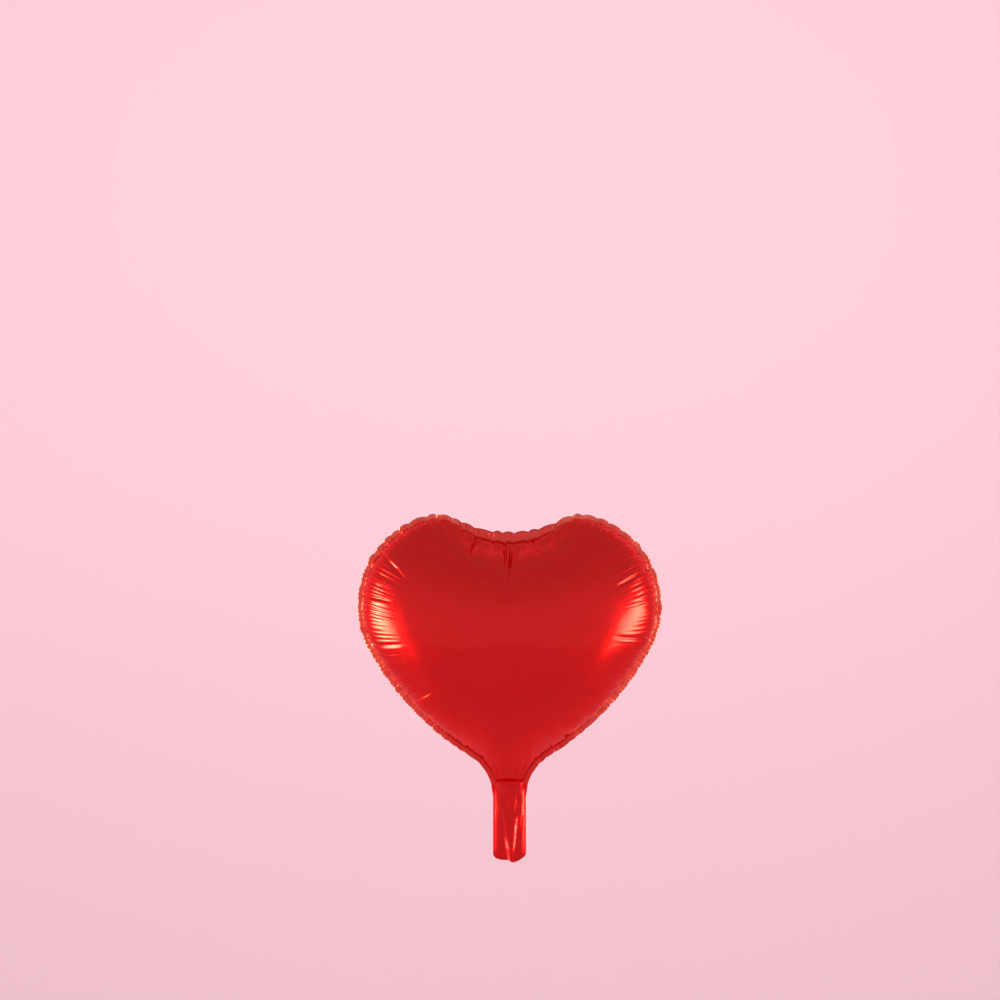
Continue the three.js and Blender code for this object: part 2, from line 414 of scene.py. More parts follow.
def film_grid(rim, crown):
    """The filled film and its flat pattern, ring by ring, with its faces, all on the front side."""
    shares, steps = ring_plan()
    filled, flat, depth, along, faces, starts, counts = [], [], [], [], [], [], []
    total = 0
    for share, step in zip(shares, steps):
        rho, height, length = dome_profile(rim, crown, step)
        seam = rim.seam[::step]
        n = len(seam)
        target = length[:, -1] * (1 - share)
        r = np.array([np.interp(target[j], length[j], rho) for j in range(n)])
        h = np.array([np.interp(target[j], length[j], height[j]) for j in range(n)])
        spoke = seam - CENTRE
        unit = spoke / np.hypot(*spoke.T)[:, None]
        at, lie = CENTRE + spoke * r[:, None], CENTRE + unit * target[:, None]
        filled.append(np.c_[at[:, 0], -h, at[:, 1]])
        flat.append(np.c_[lie[:, 0], np.zeros(n), lie[:, 1]])
        depth.append(length[:, -1] * share)
        along.append(rim.s[::step])
        if starts:
            faces += ring_faces(starts[-1], total, counts[-1], n)
        starts.append(total)
        counts.append(n)
        total += n
    faces += [(starts[-1] + j, starts[-1] + (j + 1) % n, total) for j in range(n)]
    filled.append([[0, -crown, CENTRE[1]]])
    flat.append([[0, 0, CENTRE[1]]])
    depth.append([MEAN_SPOKE])
    along.append([0])
    stack = [np.vstack(filled), np.vstack(flat), np.concatenate(depth), np.concatenate(along)]
    return stack, faces, starts, counts


def ring_faces(a, b, m, n):
    """Faces between an outer ring of m points and an inner one of n, which is m or half of m."""
    if m == n:
        return [(a + j, a + (j + 1) % m, b + (j + 1) % m, b + j) for j in range(m)]
    faces = []
    for j in range(n):
        p, q, r, s, t = a + 2 * j, a + 2 * j + 1, a + (2 * j + 2) % m, b + j, b + (j + 1) % n
        faces += [(p, q, s), (q, t, s), (q, r, t)]
    return faces


# ---------------------------------------------------------------- filling the film


def fill_with_gas(settings, flat, filled, faces, pinned):
    """Blows one flat film up with Cloth while its rim is drawn in to the finished seam."""
    mesh = bpy.data.meshes.new("flat_film")
    mesh.from_pydata((flat * MM).tolist(), [], faces)
    film = bpy.data.objects.new("flat_film", mesh)
    scene = bpy.context.scene
    scene.collection.objects.link(film)
    film.shape_key_add(name="Basis")
    key = film.shape_key_add(name="seam")
    drawn = flat * MM
    drawn[:pinned] = filled[:pinned] * MM
    key.data.foreach_set("co", drawn.ravel())
    group = film.vertex_groups.new(name="pin")
    group.add(list(range(pinned)), 1.0, "REPLACE")
    cloth = film.modifiers.new("Gas", "CLOTH")
    use = cloth.settings
    use.quality = 3
    use.mass = 0.0003
    use.air_damping = 10
    use.tension_stiffness = 15
    use.compression_stiffness = 0.02
    use.shear_stiffness = 1
    use.bending_stiffness = 0.5
    use.tension_damping = use.compression_damping = use.shear_damping = 5
    use.bending_damping = 0.5
    use.vertex_group_mass = "pin"
    use.pin_stiffness = 1
    use.use_pressure = True
    use.uniform_pressure_force = settings.gas_pressure
    use.effector_weights.gravity = 0
    cloth.collision_settings.use_collision = False
    cloth.point_cache.frame_start = 1
    cloth.point_cache.frame_end = FILL_FRAMES + 1
    scene.frame_start, scene.frame_end = 1, FILL_FRAMES + 1
    key.value = 0
    key.keyframe_insert("value", frame=1)
    key.value = 1
    key.keyframe_insert("value", frame=SEAM_FRAME)
    for number in range(1, FILL_FRAMES + 1):
        scene.frame_set(number)
    done = film.evaluated_get(bpy.context.evaluated_depsgraph_get())
    points = np.empty(len(flat) * 3)
    done.data.vertices.foreach_get("co", points)
    bpy.data.objects.remove(film)
    bpy.data.meshes.remove(mesh)
    scene.frame_set(1)
    if not np.isfinite(points).all():
        raise RuntimeError("the film did not fill")
    return points.reshape(-1, 3) / MM


def finer(rings):
    """Twice the columns of every ring, by a smooth curve through the points."""
    out = []
    for ring in rings:
        if len(ring) == 1:
            out.append(ring)
            continue
        mid = (9 * (ring + np.roll(ring, -1, 0)) - np.roll(ring, 1, 0) - np.roll(ring, -2, 0)) / 16
        both = np.empty((2 * len(ring), 3))
        both[0::2], both[1::2] = ring, mid
        out.append(both)
    return np.vstack(out)


def relax(points, faces, keep, rounds):
    """Evens out small kinks: each point moves halfway to its neighbours' mean, unless keep is 1."""
    pairs = np.array([(f[i], f[(i + 1) % len(f)]) for f in faces for i in range(len(f))])
    pairs = np.vstack([pairs, pairs[:, ::-1]])
    count = np.bincount(pairs[:, 0], minlength=len(points))[:, None]
    for _ in range(rounds):
        mean = np.zeros_like(points)
        for k in range(3):
            mean[:, k] = np.bincount(pairs[:, 0], points[pairs[:, 1], k], len(points))
        points = points + (mean / count - points) * 0.5 * (1 - keep)[:, None]
    return points


def outward(points, faces):
    """Unit normals at the points."""
    normal = np.zeros_like(points)
    for f in (np.array([q for q in faces if len(q) == k]) for k in (3, 4)):
        if not len(f):
            continue
        n = np.cross(points[f[:, 2]] - points[f[:, 0]], points[f[:, -1]] - points[f[:, 1]])
        for k in range(f.shape[1]):
            for a in range(3):
                normal[:, a] += np.bincount(f[:, k], n[:, a], len(points))
    return normal / np.maximum(np.linalg.norm(normal, axis=1), 1e-12)[:, None]


# ---------------------------------------------------------------- folds at the rim


def divisions(length, spacing, jitter, rng):
    """Uneven stops along a closed length, and a strength for each stretch."""
    stops = [0.0]
    while stops[-1] < length - spacing * LAST_STRETCH:
        stops.append(stops[-1] + spacing * (1 + jitter * rng.uniform(-1, 1)))
    stops = np.array(stops) * length / stops[-1]
    return stops, rng.uniform(LEAST_STRENGTH, 1, len(stops))


def stretch_at(stops, s):
    """The stretch that each place lies in, and its share of the way along it."""
    k = np.clip(np.searchsorted(stops, s, side="right") - 1, 0, len(stops) - 2)
    return k, (s - stops[k]) / (stops[k + 1] - stops[k])


class Folds:
    """The scallops, waves and crimps that both films share at the weld."""

    def __init__(self, settings, rim):
        rng = np.random.default_rng(settings.seed)
        self.rim = rim
        self.stops, self.strength = divisions(
            rim.length, settings.scallop_length / MM, SCALLOP_JITTER, rng)
        self.crimps, self.crimp = divisions(rim.length, CRIMP_LENGTH, CRIMP_JITTER, rng)
        self.scallop = settings.scallop_height / MM
        self.sign = np.where(rng.uniform(size=len(self.stops)) < 0.5, -1, 1)

    def mask(self, height):
        """None at the root, full higher up."""
        return smooth_step((height - FOLDS_FROM) / FOLDS_OVER)

    def scallops(self, s, height):
        """How far the rim bulges out in the heart's plane."""
        k, f = stretch_at(self.stops, s)
        on_lobe = LOW_SCALLOP + (1 - LOW_SCALLOP) * smooth_step((height - LOBE_FROM) / LOBE_OVER)
        bulge = np.sin(f * math.pi) ** SCALLOP_SHARPNESS * self.strength[k] - SCALLOP_LEVEL
        return bulge * on_lobe * self.mask(height) * self.scallop

    def waves(self, s, height):
        """How far the weld waves to the front or the back, from -1 to 1."""
        k, f = stretch_at(self.stops, s)
        return self.sign[k] * np.sin(f * math.pi) * self.strength[k] * self.mask(height)

    def crimped(self, s, height):
        """Short crimps across the weld."""
        k, f = stretch_at(self.crimps, s)
        return np.cos(2 * math.pi * f) * self.crimp[k] * self.mask(height) * CRIMP_SIZE


def ribs(settings, rim, s, depth, height, rng):
    """Fine ribs and wider pleats that run in from the seam and die out on the dome."""
    total = np.zeros(len(s))
    above_root = smooth_step((height - RIBS_FROM) / RIBS_OVER)
    from_cleft = abs(s - rim.length / 2)
    off_cleft = 1 - CLEFT_CALM * smooth_step((CLEFT_REACH - from_cleft) / CLEFT_OVER)
    plan = ((settings.rib_spacing / MM, settings.rib_height / MM, RIB_REACH),
            (PLEAT_SPACING, PLEAT_HEIGHT, PLEAT_REACH))
    for spacing, tall, (shortest, longest) in plan:
        stops, strength = divisions(rim.length, spacing, RIB_JITTER, rng)
        reach = rng.uniform(shortest, longest, len(stops))
        k, f = stretch_at(stops, s)
        shape = np.sin(f * math.pi) ** RIB_SHARPNESS - RIB_LEVEL
        fade = np.clip(1 - depth / reach[k], 0, 1) ** RIB_FADE * smooth_step(depth / RIB_START)
        total += shape * strength[k] * fade * tall * above_root * off_cleft
    return total


def creases(lines, points):
    """Depth of the long creases at each point, from their runs in x and z."""
    total = np.zeros(len(points))
    p = points[:, [0, 2]]
    for x0, z0, x1, z1, deep, half in lines:
        a, d = np.array([x0, z0]), np.array([x1 - x0, z1 - z0])
        t = (p - a) @ d / (d @ d)
        off = (p - a) @ np.array([-d[1], d[0]]) / np.hypot(*d)
        before, after = np.clip(1 + t * CREASE_START, 0, 1), np.clip(1 - t, 0, 1) ** 0.5
        beside = (abs(off) - SHOULDER_PLACE * half) / half
        valley = np.exp(-((off / half) ** 2)) - SHOULDER_HEIGHT * np.exp(-(beside ** 2))
        total += valley * np.where(t < 0, before, after) * deep
    return total


# ---------------------------------------------------------------- the neck


def wander(rng, x, spacing):
    """A smooth random line through evenly spaced stops, from -1 to 1."""
    n = int(np.ptp(x) / spacing) + 4
    stops = rng.uniform(-1, 1, n)
    at = (x - x.min()) / spacing
    k = np.clip(at.astype(int), 0, n - 2)
    f = smooth_step(at - k)
    return stops[k] * (1 - f) + stops[k + 1] * f


def neck_creases(rng, half, length):
    """Soft crumples of the neck, from its sides in towards the middle of its lower end."""
    lines = []
    for _ in range(NECK_CREASES):
        x = half * rng.uniform(*CREASE_ACROSS) * rng.choice((-1, 1))
        z = -rng.uniform(CREASE_TOP, CREASE_LOWEST * length)
        run = rng.uniform(*CREASE_RUN)
        deep = rng.uniform(*CREASE_DEPTH) * (1 if rng.uniform() < VALLEY_CHANCE else RIDGE_SIZE)
        end = x * rng.uniform(*CREASE_LEAN)
        lines.append((x, z, end, z - run, deep, rng.uniform(*CREASE_HALF)))
    return lines


def neck_rows(settings, top, rng):
    """Rows of the neck below its top row: two soft side folds beside a middle valley."""
    half, length = settings.neck_width / MM / 2, settings.neck_length / MM
    across = top[:, 0] / abs(top[:, 0]).max()
    down = (np.arange(1, NECK_ROWS + 1) / NECK_ROWS) ** ROW_BIAS
    channel = np.clip(1 - (across / NECK_SEAL) ** 2, 0, 1)
    mouth = np.clip(1 - (across / MOUTH_SHARE) ** 2, 0, 1) ** MOUTH_ROUNDNESS
    puff = NECK_PUFF + PUFF_CHANGE * wander(rng, down * length, PUFF_SPACING)
    middle = VALLEY_PLACE + VALLEY_CHANGE * wander(rng, down * length, VALLEY_SPACING)
    rows = []
    for i, v in enumerate(down):
        z = top[:, 2] * (1 - v) - length * v
        to_end = np.maximum(0, NECK_CORNER - (z + length))
        wide = half - NECK_CORNER + np.sqrt(np.maximum(NECK_CORNER ** 2 - to_end ** 2, 0))
        join = smooth_step(v * length / NECK_JOIN)
        x = top[:, 0] * (1 - join) + across * wide * join
        begin = smooth_step(v * length / PUFF_START)
        to_valley = (across - middle[i]) / (VALLEY_HALF[0] + VALLEY_HALF[1] * v)
        valley = np.exp(-(to_valley ** 2)) * (VALLEY_DEPTH[0] + VALLEY_DEPTH[1] * v)
        flatter = 1 - END_FLATNESS * v ** END_POWER
        folded = channel ** SIDE_ROUNDNESS * (1 - valley) * puff[i] * flatter
        y = folded * begin + MOUTH_PUFF * mouth * (1 - begin)
        below_mouth = np.exp(-((v * length - BULGE_PLACE) / BULGE_LENGTH) ** 2)
        from_bulge = (abs(across - middle[i]) - BULGE_OFFSET) / BULGE_HALF
        y += below_mouth * BULGE_HEIGHT * np.exp(-(from_bulge ** 2))
        slant = smooth_step((v - SLANT_FROM) / SLANT_OVER)
        left_up = LEFT_RISE * smooth_step((LEFT_FROM - across) / LEFT_OVER)
        right_up = RIGHT_RISE * np.clip((across - RIGHT_FROM) / RIGHT_OVER, 0, 1) ** 2
        z = z + slant * (left_up + right_up)
        rows.append(np.c_[x, -y, z])
    rows = np.array(rows)
    lines = neck_creases(rng, half * NECK_SEAL, length)
    lift = creases(lines, rows.reshape(-1, 3)).reshape(rows.shape[:2])
    starts = smooth_step(down * length / CREASE_FREE)
    rows[:, :, 1] += lift * channel[None, :] ** CREASE_EDGE * starts[:, None]
    off_ply = PLY_GAP * smooth_step(channel * PLY_GAP_SPREAD)
    rows[:, :, 1] = np.minimum(rows[:, :, 1], -off_ply[None, :])
    return rows


# ---------------------------------------------------------------- putting a film together


def folded_dome(settings, rim, folds, turn, dome, faces, stack, rng):
    """The dome of one film with its ribs, creases, pinches, rim folds and mouth."""
    _, _, depth, along = stack
    lines = FRONT_CREASES if turn > 0 else BACK_CREASES
    rim_height = np.interp(along, rim.s, rim.seam[:, 1])
    normal = outward(dome, faces)
    lift = ribs(settings, rim, along, depth, rim_height, rng) - creases(lines, dome)
    k, f = stretch_at(folds.stops, along)
    to_pinch = np.minimum(f, 1 - f) * PINCH_SPAN / PINCH_HALF
    pinch = np.exp(-(to_pinch ** 2)) * folds.mask(rim_height)
    pinch_reach = PINCH_REACH + PINCH_GROWTH * folds.strength[k]
    pinch *= np.clip(1 - depth / pinch_reach, 0, 1) * smooth_step(depth / PINCH_START)
    lift -= pinch * PINCH_DEPTH
    points = dome + normal * lift[:, None]
    fade = np.clip(1 - depth / RIM_REACH, 0, 1) ** RIM_FADE
    out = np.c_[[np.interp(along, rim.s, rim.out[:, a]) for a in (0, 1)]].T
    push = folds.scallops(along, rim_height) * fade * SEAM_SCALLOP
    points[:, 0] += out[:, 0] * push
    points[:, 2] += out[:, 1] * push
    points[:, 1] += folds.waves(along, rim_height) * fade * wave_size(0) * turn
    root = np.clip(1 - (points[:, 0] / MOUTH_HALF) ** 2, 0, 1) ** MOUTH_ROUNDNESS
    root *= smooth_step(1 - depth / MOUTH_REACH) * (dome[:, 2] < MOUTH_TOP)
    points[:, 1] -= MOUTH_PUFF * root
    return points, rim_height


def add_weld(rim, folds, turn, cols, points, faces):
    """Adds the flat weld outside the seam, row by row to the cut edge, and its faces."""
    rows = [cols]
    gap = (rim.edge - rim.seam)[cols]
    web = np.hypot(*gap.T)
    h, s = rim.seam[cols, 1], rim.s[cols]
    for q in range(1, FLANGE_ROWS + 1):
        share = q / FLANGE_ROWS
        push = folds.scallops(s, h) * (SEAM_SCALLOP + (1 - SEAM_SCALLOP) * share)
        at = rim.seam[cols] + gap * share + rim.out[cols] * push[:, None]
        y = folds.waves(s, h) * wave_size(share) + folds.crimped(s, h) * CRIMP_SHARE * share
        y += np.where(web > WEB_WIDE, WEB_RIPPLE * np.sin(s * WEB_RIPPLES) * share, 0)
        rows.append(len(points) + np.arange(len(cols)))
        points = np.vstack([points, np.c_[at[:, 0], y * turn, at[:, 1]]])
        a, b = rows[-2], rows[-1]
        faces += [(b[j], b[j + 1], a[j + 1], a[j]) for j in range(len(cols) - 1)]
    return points, rows


def add_neck(settings, rim, rows, points, faces, rng):
    """Adds the neck below the root and the ends of the weld's rows, and its faces."""
    n, chord = rim.columns, rim.chord
    right = [r[0] for r in rows]
    left = [r[-1] for r in rows]
    above = left[::-1] + [j % n for j in range(n - chord + 1, n + chord)] + right
    for row in neck_rows(settings, points[above], rng):
        below = list(range(len(points), len(points) + len(row)))
        points = np.vstack([points, row])
        faces += [(below[j], below[j + 1], above[j + 1], above[j]) for j in range(len(row) - 1)]
        above = below
    return points


def seal_and_painted_sheen_shares(rim, cols, rim_height, points):
    """Each point's share of the weld's paler tint, a painted highlight, and of its roughness: the
    weld most, less so low down, and least at the cleft, as painted shade.
    """
    first, last = len(rim_height), len(rim_height) + FLANGE_ROWS * len(cols)
    seal_and_painted_sheen, up = np.zeros(len(points)), np.zeros(len(points))
    # This mask mixes a painted highlight (a paler tint) into the weld and makes it rougher.
    seal_and_painted_sheen[first:last] = 1
    seal_and_painted_sheen[cols % rim.columns] = SEAM_TINT
    up[:first] = rim_height
    up[first:last] = np.tile(rim.seam[cols, 1], FLANGE_ROWS)
    # Less of the painted highlight low down.
    seal_and_painted_sheen *= LOW_TINT + (1 - LOW_TINT) * smooth_step((up - TINT_FROM) / TINT_OVER)
    # At the top of the cleft it is cut back further: painted shade.
    at_cleft = smooth_step((CLEFT_HALF - abs(points[:, 0])) / CLEFT_SOFT)
    seal_and_painted_sheen *= 1 - CLEFT_PAINTED_SHADE * smooth_step((up - CLEFT_FROM) / CLEFT_RISE) * at_cleft
    return seal_and_painted_sheen


def soften_mouth(points, faces):
    """Rounds off the bend where the dome meets the neck."""
    from_bend = abs(points[:, 2] - BEND_HEIGHT)
    bend = smooth_step((BEND_REACH - from_bend) / BEND_SOFT)
    bend *= smooth_step((BEND_HALF - abs(points[:, 0])) / BEND_HALF_SOFT)
    return relax(points, faces, 1 - bend, BEND_ROUNDS)


def foil_points(settings, side, dome, faces, stack):
    """All points and faces of one film, front side first, then turned over for the back."""
    rim = Rim(settings, 2 * COARSE_COLUMNS)
    folds = Folds(settings, rim)
    rng = np.random.default_rng(settings.seed + (1 if side < 0 else 2))
    turn = 1 if side < 0 else -1
    points, rim_height = folded_dome(settings, rim, folds, turn, dome, faces, stack, rng)
    faces = list(faces)
    cols = np.arange(rim.chord, rim.columns - rim.chord + 1)
    points, rows = add_weld(rim, folds, turn, cols, points, faces)
    points = add_neck(settings, rim, rows, points, faces, rng)
    # Each point's share of the weld's painted highlight and roughness.
    seal_and_painted_sheen = seal_and_painted_sheen_shares(rim, cols, rim_height, points)
    points = soften_mouth(points, faces)
    points[:, 1] -= FILM_CLEARANCE
    if side > 0:
        points[:, 1] *= -1
        faces = [tuple(reversed(q)) for q in faces]
    return points * MM, faces, seal_and_painted_sheen


def wave_size(share):
    """Size in mm of the weld's wave, from the seam to the cut edge."""
    return WELD_WAVE + EDGE_WAVE * share


# ---------------------------------------------------------------- materials


def node(tree, kind, **values):
    """A new node with its settings."""
    made = tree.nodes.new(kind)
    for name, value in values.items():
        setattr(made, name, value)
    return made


def crinkle_group():
    """Small dents and soft creases of thin film, as a height and a mask."""
    made = bpy.data.node_groups.get("Film crinkle")
    if made:
        return made
    tree = bpy.data.node_groups.new("Film crinkle", "ShaderNodeTree")
    face = tree.interface
    for name, default in (("Fine scale", 260.0), ("Broad scale", 38.0), ("Fine share", 0.3)):
        face.new_socket(name, in_out="INPUT", socket_type="NodeSocketFloat").default_value = default
    face.new_socket("Height", in_out="OUTPUT", socket_type="NodeSocketFloat")
    face.new_socket("Mask", in_out="OUTPUT", socket_type="NodeSocketFloat")
    begin, end = node(tree, "NodeGroupInput"), node(tree, "NodeGroupOutput")
    place = node(tree, "ShaderNodeTexCoord")
    fine = node(tree, "ShaderNodeTexNoise")
    broad = node(tree, "ShaderNodeTexNoise")
    fine.inputs["Detail"].default_value = 3
    broad.inputs["Detail"].default_value = 4
    broad.inputs["Distortion"].default_value = 0.8
    mix = node(tree, "ShaderNodeMix", data_type="FLOAT")
    link = tree.links.new
    link(begin.outputs["Fine scale"], fine.inputs["Scale"])
    link(begin.outputs["Broad scale"], broad.inputs["Scale"])
    link(place.outputs["Object"], fine.inputs["Vector"])
    link(place.outputs["Object"], broad.inputs["Vector"])
    link(begin.outputs["Fine share"], mix.inputs[0])
    link(broad.outputs["Fac"], mix.inputs[2])
    link(fine.outputs["Fac"], mix.inputs[3])
    link(mix.outputs[0], end.inputs["Height"])
    link(broad.outputs["Fac"], end.inputs["Mask"])
    return tree


def add_crinkle(tree, shader, fine, broad, share, strength, distance):
    """The crinkle of thin film as a bump on a shader, and its group for the mask."""
    group = node(tree, "ShaderNodeGroup", node_tree=crinkle_group())
    group.inputs["Fine scale"].default_value = fine
    group.inputs["Broad scale"].default_value = broad
    group.inputs["Fine share"].default_value = share
    bump = node(tree, "ShaderNodeBump")
    bump.inputs["Strength"].default_value = strength
    bump.inputs["Distance"].default_value = distance
    tree.links.new(group.outputs["Height"], bump.inputs["Height"])
    tree.links.new(bump.outputs["Normal"], shader.inputs["Normal"])
    return group


def foil_material(settings):
    """Metallised film under a clear red coat; along the weld a paler tint, which is a painted
    highlight, and a duller, rougher finish.
    """
    made = bpy.data.materials.new("red_foil_film")
    made.use_nodes = True
    tree = made.node_tree
    shader = tree.nodes["Principled BSDF"]
    shader.inputs["Metallic"].default_value = 1.0
    shader.inputs["Coat Weight"].default_value = 0.3
    shader.inputs["Specular Tint"].default_value = (1.0, 0.34, 0.24, 1)
    shader.inputs["Coat Roughness"].default_value = 0.12
    shader.inputs["Coat IOR"].default_value = 1.5
    group = add_crinkle(
        tree, shader, fine=420, broad=46, share=0.25, strength=0.18, distance=0.0012)
    seal_and_painted_sheen = node(tree, "ShaderNodeAttribute", attribute_name="seal_and_painted_sheen")
    # Along the weld the film red is mixed towards a paler peach-red: a painted highlight.
    tint = node(tree, "ShaderNodeMix", data_type="RGBA")
    tint.inputs[6].default_value = (*settings.film_red, 1)
    tint.inputs[7].default_value = (*settings.seal_painted_highlight_red, 1)
    tree.links.new(seal_and_painted_sheen.outputs["Fac"], tint.inputs[0])
    shade = node(tree, "ShaderNodeMix", data_type="RGBA", blend_type="MULTIPLY")
    shade.inputs[0].default_value = 1.0
    ramp = node(tree, "ShaderNodeValToRGB")
    ramp.color_ramp.elements[0].color = (0.88, 0.86, 0.86, 1)
    ramp.color_ramp.elements[1].color = (1, 1, 1, 1)
    tree.links.new(group.outputs["Mask"], ramp.inputs["Fac"])
    tree.links.new(tint.outputs[2], shade.inputs[6])
    tree.links.new(ramp.outputs["Color"], shade.inputs[7])
    tree.links.new(shade.outputs[2], shader.inputs["Base Color"])
    rough = node(tree, "ShaderNodeMapRange")
    rough.inputs["To Min"].default_value = 0.19
    rough.inputs["To Max"].default_value = 0.26
    more = node(tree, "ShaderNodeMath", operation="MULTIPLY_ADD")
    more.inputs[1].default_value = 0.18
    tree.links.new(group.outputs["Mask"], rough.inputs["Value"])
    tree.links.new(seal_and_painted_sheen.outputs["Fac"], more.inputs[0])
    tree.links.new(rough.outputs["Result"], more.inputs[2])
    tree.links.new(more.outputs["Value"], shader.inputs["Roughness"])
    return made


def valve_material(settings):
    """Thin milky-clear film with a soft crinkle."""
    made = bpy.data.materials.new("clear_valve_film")
    made.use_nodes = True
    tree = made.node_tree
    shader = tree.nodes["Principled BSDF"]
    shader.inputs["Base Color"].default_value = (*settings.valve_tint, 1)
    shader.inputs["Transmission Weight"].default_value = 0.75
    shader.inputs["IOR"].default_value = 1.45
    group = add_crinkle(
        tree, shader, fine=500, broad=90, share=0.4, strength=0.3, distance=0.0006)
    rough = node(tree, "ShaderNodeMapRange")
    rough.inputs["To Min"].default_value = 0.16
    rough.inputs["To Max"].default_value = 0.3
    tree.links.new(group.outputs["Mask"], rough.inputs["Value"])
    tree.links.new(rough.outputs["Result"], shader.inputs["Roughness"])
    return made


def studio_world():
    """Soft light from all round, dimmer from overhead."""
    made = bpy.data.worlds.new("studio")
    made.use_nodes = True
    tree = made.node_tree
    place = node(tree, "ShaderNodeTexCoord")
    parts = node(tree, "ShaderNodeSeparateXYZ")
    dim = node(tree, "ShaderNodeMapRange", interpolation_type="SMOOTHSTEP")
    dim.inputs["From Min"].default_value = 0.05
    dim.inputs["From Max"].default_value = 0.95
    dim.inputs["To Min"].default_value = 0.74
    dim.inputs["To Max"].default_value = 0.58
    tree.links.new(place.outputs["Generated"], parts.inputs["Vector"])
    tree.links.new(parts.outputs["Z"], dim.inputs["Value"])
    back = tree.nodes["Background"]
    back.inputs["Color"].default_value = (1.0, 0.93, 0.94, 1)
    tree.links.new(dim.outputs["Result"], back.inputs["Strength"])
    return made


def paper_material(settings):
    """Pale matt paper that gives off a little light, so that it stays even far off."""
    made = bpy.data.materials.new("pale_paper")
    made.use_nodes = True
    tree = made.node_tree
    shader = tree.nodes["Principled BSDF"]
    shader.inputs["Base Color"].default_value = (*settings.floor_tint, 1)
    shader.inputs["Roughness"].default_value = 0.9
    shader.inputs["Emission Color"].default_value = (*settings.floor_tint, 1)
    shader.inputs["Emission Strength"].default_value = 0.13
    add_crinkle(tree, shader, fine=900, broad=200, share=0.6, strength=0.05, distance=0.0005)
    return made


# ---------------------------------------------------------------- making objects


def add_mesh(name, points, faces, material, attribute=None):
    """A smooth-shaded piece, with each point's share of the weld's painted highlight and roughness
    where that is given.
    """
    mesh = bpy.data.meshes.new(name)
    mesh.from_pydata(np.asarray(points).tolist(), [], faces)
    if attribute is not None:
        # The attribute carries each point's share of the weld's painted highlight and roughness.
        seal_and_sheen_layer = mesh.attributes.new("seal_and_painted_sheen", "FLOAT", "POINT")
        seal_and_sheen_layer.data.foreach_set("value", attribute.astype(np.float32))
    mesh.update()
    mesh.shade_smooth()
    mesh.materials.append(material)
    made = bpy.data.objects.new(name, mesh)
    bpy.context.scene.collection.objects.link(made)
    return made


def give_thickness(piece, thickness):
    """Gives a film its wall, outwards."""
    wall = piece.modifiers.new("Film thickness", "SOLIDIFY")
    wall.thickness = thickness
    wall.offset = 1
    bpy.ops.object.select_all(action="DESELECT")
    piece.select_set(True)
    bpy.context.view_layer.objects.active = piece
    bpy.ops.object.modifier_apply(modifier=wall.name)


class BALLOON_OT_foil_films(Operator):
    """Fill the two foil films with gas, gather their rims and join the neck to them"""

    bl_idname = "balloon.foil_films"
    bl_label = "Foil films"

    def execute(self, context):
        settings = context.scene.balloon
        crown = settings.crown_height / MM
        fine, fine_faces, _, _ = film_grid(Rim(settings, 2 * COARSE_COLUMNS), crown)
        ideal, depth = fine[0], fine[2]
        dome = ideal
        coarse, faces, at, each = film_grid(Rim(settings, COARSE_COLUMNS), crown)
        blown = fill_with_gas(settings, coarse[1], coarse[0], faces, COARSE_COLUMNS)
        blown = finer([blown[a:a + c] for a, c in zip(at, each)] + [blown[-1:]])
        trust = smooth_step((depth - TRUST_FROM) / TRUST_OVER)[:, None]
        pinned = (depth < PIN_DEPTH).astype(float)
        dome = ideal + relax((blown - ideal) * trust, fine_faces, pinned, KINK_ROUNDS)
        off_centre = 1 - smooth_step((depth - CENTRE_FROM) / CENTRE_OVER)
        dome = relax(dome, fine_faces, off_centre, CENTRE_ROUNDS)
        flat = np.ptp(fine[1][:, [0, 2]], axis=0) * MM + 2 * settings.seal_width
        flat[1] += settings.neck_length - settings.seal_width
        material = foil_material(settings)
        for side, name in ((-1, "front"), (1, "back")):
            points, faces, seal_and_painted_sheen = foil_points(settings, side, dome, fine_faces, fine)
            film = add_mesh(f"{name}_foil_film", points, faces, material, seal_and_painted_sheen)
            give_thickness(film, settings.film_thickness)
            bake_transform(film)
            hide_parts(f"{name}_panel", f"neck_{name}_ply")
        return {"FINISHED"}


class BALLOON_OT_valve_films(Operator):
    """Lay the two clear valve films inside the neck, with their free ends above the fold"""

    bl_idname = "balloon.valve_films"
    bl_label = "Valve films"

    def execute(self, context):
        settings = context.scene.balloon
        material = valve_material(settings)
        for name, body in (("valve_front_sheet", "neck"), ("valve_back_sheet", "neck"),
                           ("valve_front_lip", "front_lip"), ("valve_back_lip", "back_lip")):
            low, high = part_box(name)
            rng = np.random.default_rng(settings.seed + len(name) + len(body))
            across, down = VALVE_GRID
            u, v = np.meshgrid(np.linspace(-1, 1, across), np.linspace(0, 1, down))
            free = 0.0 if body == "neck" else 1.0
            wide, tall = (high.x - low.x) / 2, high.z - low.z
            from_end = np.maximum(0, VALVE_CORNER - (1 - v) * tall) * free
            rounded = np.sqrt(np.maximum(VALVE_CORNER ** 2 - from_end ** 2, 0))
            half = wide - VALVE_CORNER + rounded
            x, z = u * half, low.z + v * tall
            ripple = wander(rng, (u * 5 + v * 3).ravel(), 1.1).reshape(u.shape)
            out = -1 if "front" in name else 1
            y = out * (VALVE_GAP + VALVE_RIPPLE * ripple)
            y += out * free * VALVE_OPENING * v ** 2 * (1 - u ** 2)
            points = np.c_[x.ravel(), y.ravel(), z.ravel()]
            corners = (0, 1, across + 1, across)
            faces = [tuple(r * across + c + step for step in corners)
                     for r in range(down - 1) for c in range(across - 1)]
            if out > 0:
                faces = [tuple(reversed(q)) for q in faces]
            shown = name.replace("sheet", "film").replace("_lip", "_end")
            film = add_mesh(shown, points, faces, material)
            give_thickness(film, VALVE_THICKNESS)
            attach(film, body)
            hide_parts(name)
        return {"FINISHED"}


